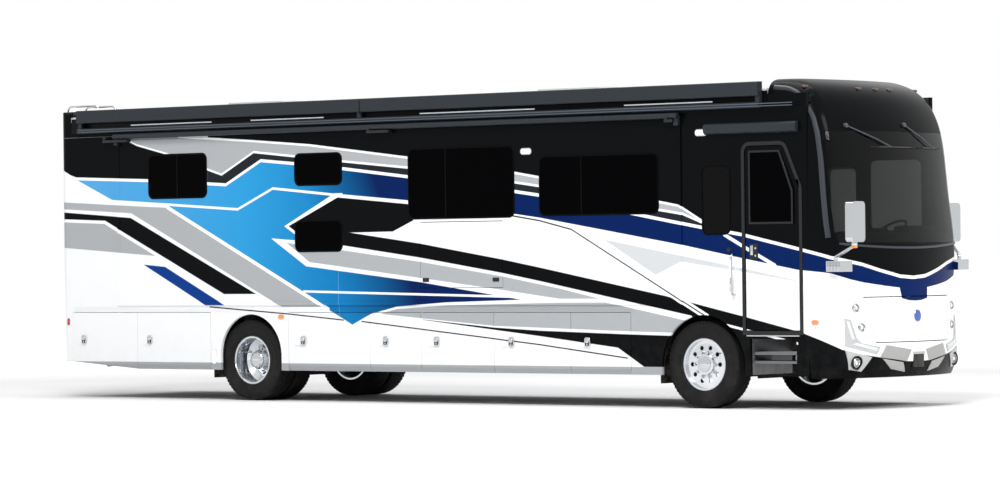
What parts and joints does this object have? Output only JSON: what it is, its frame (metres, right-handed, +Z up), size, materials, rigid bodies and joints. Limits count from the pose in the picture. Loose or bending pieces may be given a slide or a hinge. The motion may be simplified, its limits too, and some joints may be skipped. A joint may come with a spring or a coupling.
{
  "type": "motorhome",
  "caption": "Long class A motorhome coach with slide-out rooms, baggage doors, steered front wheels and twin rear wheels.",
  "frame": {"origin": "on the ground under the middle of the whole coach, its mirrors and its ladder", "axes": "+X forward, +Y to the left, +Z up; the entry door is on -Y"},
  "size_m": [12.722, 3.2, 3.7869],
  "materials": {
    "body_paint": "gloss, with painted stripes",
    "trim": "satin",
    "frame_metal": "satin black",
    "engine": "painted",
    "tray_metal": "mill",
    "floor_board": "satin",
    "roof_skin": "satin",
    "dash": "grained",
    "lamp": "clear and coloured lenses",
    "awning_metal": "satin",
    "bright_metal": "polished",
    "upholstery": "soft",
    "rubber_parts": "matt",
    "tyre": "matt",
    "rim": "polished",
    "glass": "tinted"
  },
  "bodies": {
    "chassis": {"chassis_frame": "frame_metal", "front_axle": "frame_metal", "rear_axle": "frame_metal", "air_springs": "rubber_parts", "engine_block": "engine", "fuel_tank": "frame_metal", "floor": "floor_board", "basement": "tray_metal", "side_wall_right": "body_paint", "side_wall_left": "body_paint", "side_glass": "glass", "fenders": "body_paint", "roof": "roof_skin", "roof_units": "roof_skin", "front_cap": "body_paint", "windshield": "glass", "front_bumper": "body_paint", "dashboard": "dash", "rear_cap": "body_paint", "lamps": "lamp", "door_frame": "trim", "awnings": "awning_metal", "hand_rails": "bright_metal", "mirrors": "bright_metal", "seats": "upholstery", "mud_flaps": "rubber_parts"},
    "knuckle_right": {"knuckle_right": "frame_metal"},
    "wheel_front_right": {"tyre_front_right": "tyre", "rim_front_right": "rim"},
    "wheels_rear_right": {"tyres_rear_right": "tyre", "rims_rear_right": "rim"},
    "bay_door_right_one": {"bay_door_right_one": "body_paint"},
    "bay_door_right_two": {"bay_door_right_two": "body_paint"},
    "bay_door_right_three": {"bay_door_right_three": "body_paint"},
    "bay_door_right_four": {"bay_door_right_four": "body_paint"},
    "bay_door_right_five": {"bay_door_right_five": "body_paint"},
    "bay_door_right_six": {"bay_door_right_six": "body_paint"},
    "bay_door_right_seven": {"bay_door_right_seven": "body_paint"},
    "knuckle_left": {"knuckle_left": "frame_metal"},
    "wheel_front_left": {"tyre_front_left": "tyre", "rim_front_left": "rim"},
    "wheels_rear_left": {"tyres_rear_left": "tyre", "rims_rear_left": "rim"},
    "bay_door_left_one": {"bay_door_left_one": "body_paint"},
    "bay_door_left_two": {"bay_door_left_two": "body_paint"},
    "bay_door_left_three": {"bay_door_left_three": "body_paint"},
    "bay_door_left_five": {"bay_door_left_five": "body_paint"},
    "bay_door_left_six": {"bay_door_left_six": "body_paint"},
    "entry_door": {"entry_door": "body_paint", "entry_door_glass": "glass"},
    "entry_step": {"entry_step": "tray_metal"},
    "slide_right": {"slide_right": "body_paint", "slide_glass_right": "glass", "slide_topper": "awning_metal"},
    "slide_left": {"slide_left": "body_paint", "slide_glass_left": "glass"},
    "media_door": {"media_door": "body_paint"},
    "front_hood": {"front_hood": "body_paint"},
    "engine_door": {"engine_door": "body_paint"}
  },
  "joints": [
    {"name": "steer_right", "type": "hinge", "parent": "chassis", "child": "knuckle_right", "pos_m": [4.0235, -0.905, 0.503], "axis": [0, 0, 1], "range_deg": [-40, 40]},
    {"name": "front_wheel_right", "type": "hinge", "parent": "knuckle_right", "child": "wheel_front_right", "pos_m": [4.0235, -1.081, 0.503], "axis": [0, 1, 0], "continuous": true},
    {"name": "rear_wheels_right", "type": "hinge", "parent": "chassis", "child": "wheels_rear_right", "pos_m": [-3.0035, -1.081, 0.503], "axis": [0, 1, 0], "continuous": true},
    {"name": "bay_right_one_hinge", "type": "hinge", "parent": "chassis", "child": "bay_door_right_one", "pos_m": [-4.9395, -1.267, 0.74], "axis": [0, 0, 1], "range_deg": [0, 90]},
    {"name": "bay_right_two_hinge", "type": "hinge", "parent": "chassis", "child": "bay_door_right_two", "pos_m": [-3.6555, -1.267, 0.74], "axis": [0, 0, 1], "range_deg": [0, 90]},
    {"name": "bay_right_three_hinge", "type": "hinge", "parent": "chassis", "child": "bay_door_right_three", "pos_m": [-0.9945, -1.267, 0.74], "axis": [0, 0, 1], "range_deg": [0, 90]},
    {"name": "bay_right_four_hinge", "type": "hinge", "parent": "chassis", "child": "bay_door_right_four", "pos_m": [-0.1775, -1.267, 0.74], "axis": [0, 0, 1], "range_deg": [0, 90]},
    {"name": "bay_right_five_hinge", "type": "hinge", "parent": "chassis", "child": "bay_door_right_five", "pos_m": [0.9615, -1.267, 0.74], "axis": [0, 0, 1], "range_deg": [0, 90]},
    {"name": "bay_right_six_hinge", "type": "hinge", "parent": "chassis", "child": "bay_door_right_six", "pos_m": [2.1285, -1.267, 0.74], "axis": [0, 0, 1], "range_deg": [0, 90]},
    {"name": "bay_right_seven_hinge", "type": "hinge", "parent": "chassis", "child": "bay_door_right_seven", "pos_m": [3.0145, -1.267, 0.74], "axis": [0, 0, 1], "range_deg": [0, 90]},
    {"name": "steer_left", "type": "hinge", "parent": "chassis", "child": "knuckle_left", "pos_m": [4.0235, 0.905, 0.503], "axis": [0, 0, 1], "range_deg": [-40, 40]},
    {"name": "front_wheel_left", "type": "hinge", "parent": "knuckle_left", "child": "wheel_front_left", "pos_m": [4.0235, 1.081, 0.503], "axis": [0, 1, 0], "continuous": true},
    {"name": "rear_wheels_left", "type": "hinge", "parent": "chassis", "child": "wheels_rear_left", "pos_m": [-3.0035, 1.081, 0.503], "axis": [0, 1, 0], "continuous": true},
    {"name": "bay_left_one_hinge", "type": "hinge", "parent": "chassis", "child": "bay_door_left_one", "pos_m": [-4.9395, 1.267, 0.74], "axis": [0, 0, -1], "range_deg": [0, 90]},
    {"name": "bay_left_two_hinge", "type": "hinge", "parent": "chassis", "child": "bay_door_left_two", "pos_m": [-3.6555, 1.267, 0.74], "axis": [0, 0, -1], "range_deg": [0, 90]},
    {"name": "bay_left_three_hinge", "type": "hinge", "parent": "chassis", "child": "bay_door_left_three", "pos_m": [-0.9945, 1.267, 0.74], "axis": [0, 0, -1], "range_deg": [0, 90]},
    {"name": "bay_left_five_hinge", "type": "hinge", "parent": "chassis", "child": "bay_door_left_five", "pos_m": [0.9615, 1.267, 0.74], "axis": [0, 0, -1], "range_deg": [0, 90]},
    {"name": "bay_left_six_hinge", "type": "hinge", "parent": "chassis", "child": "bay_door_left_six", "pos_m": [2.1285, 1.267, 0.74], "axis": [0, 0, -1], "range_deg": [0, 90]},
    {"name": "entry_door_hinge", "type": "hinge", "parent": "chassis", "child": "entry_door", "pos_m": [5.4005, -1.265, 1.9], "axis": [0, 0, 1], "range_deg": [0, 90]},
    {"name": "entry_step_slide", "type": "slide", "parent": "chassis", "child": "entry_step", "axis": [0, -1, 0], "range_m": [0, 0.3]},
    {"name": "slide_out_right", "type": "slide", "parent": "chassis", "child": "slide_right", "axis": [0, -1, 0], "range_m": [0, 0.6]},
    {"name": "slide_out_left", "type": "slide", "parent": "chassis", "child": "slide_left", "axis": [0, 1, 0], "range_m": [0, 0.6]},
    {"name": "media_door_hinge", "type": "hinge", "parent": "slide_right", "child": "media_door", "pos_m": [0.4885, -1.279, 2.173], "axis": [-1, 0, 0], "range_deg": [0, 90]},
    {"name": "hood_hinge", "type": "hinge", "parent": "chassis", "child": "front_hood", "pos_m": [6.0515, 0, 1.44], "axis": [0, -1, 0], "range_deg": [0, 75]},
    {"name": "engine_door_hinge", "type": "hinge", "parent": "chassis", "child": "engine_door", "pos_m": [-6.2436, 0, 1.373], "axis": [0, 1, 0], "range_deg": [0, 90]}
  ],
  "couplings": [
    {"joint": "steer_left", "follows": "steer_right", "ratio": 1}
  ]
}
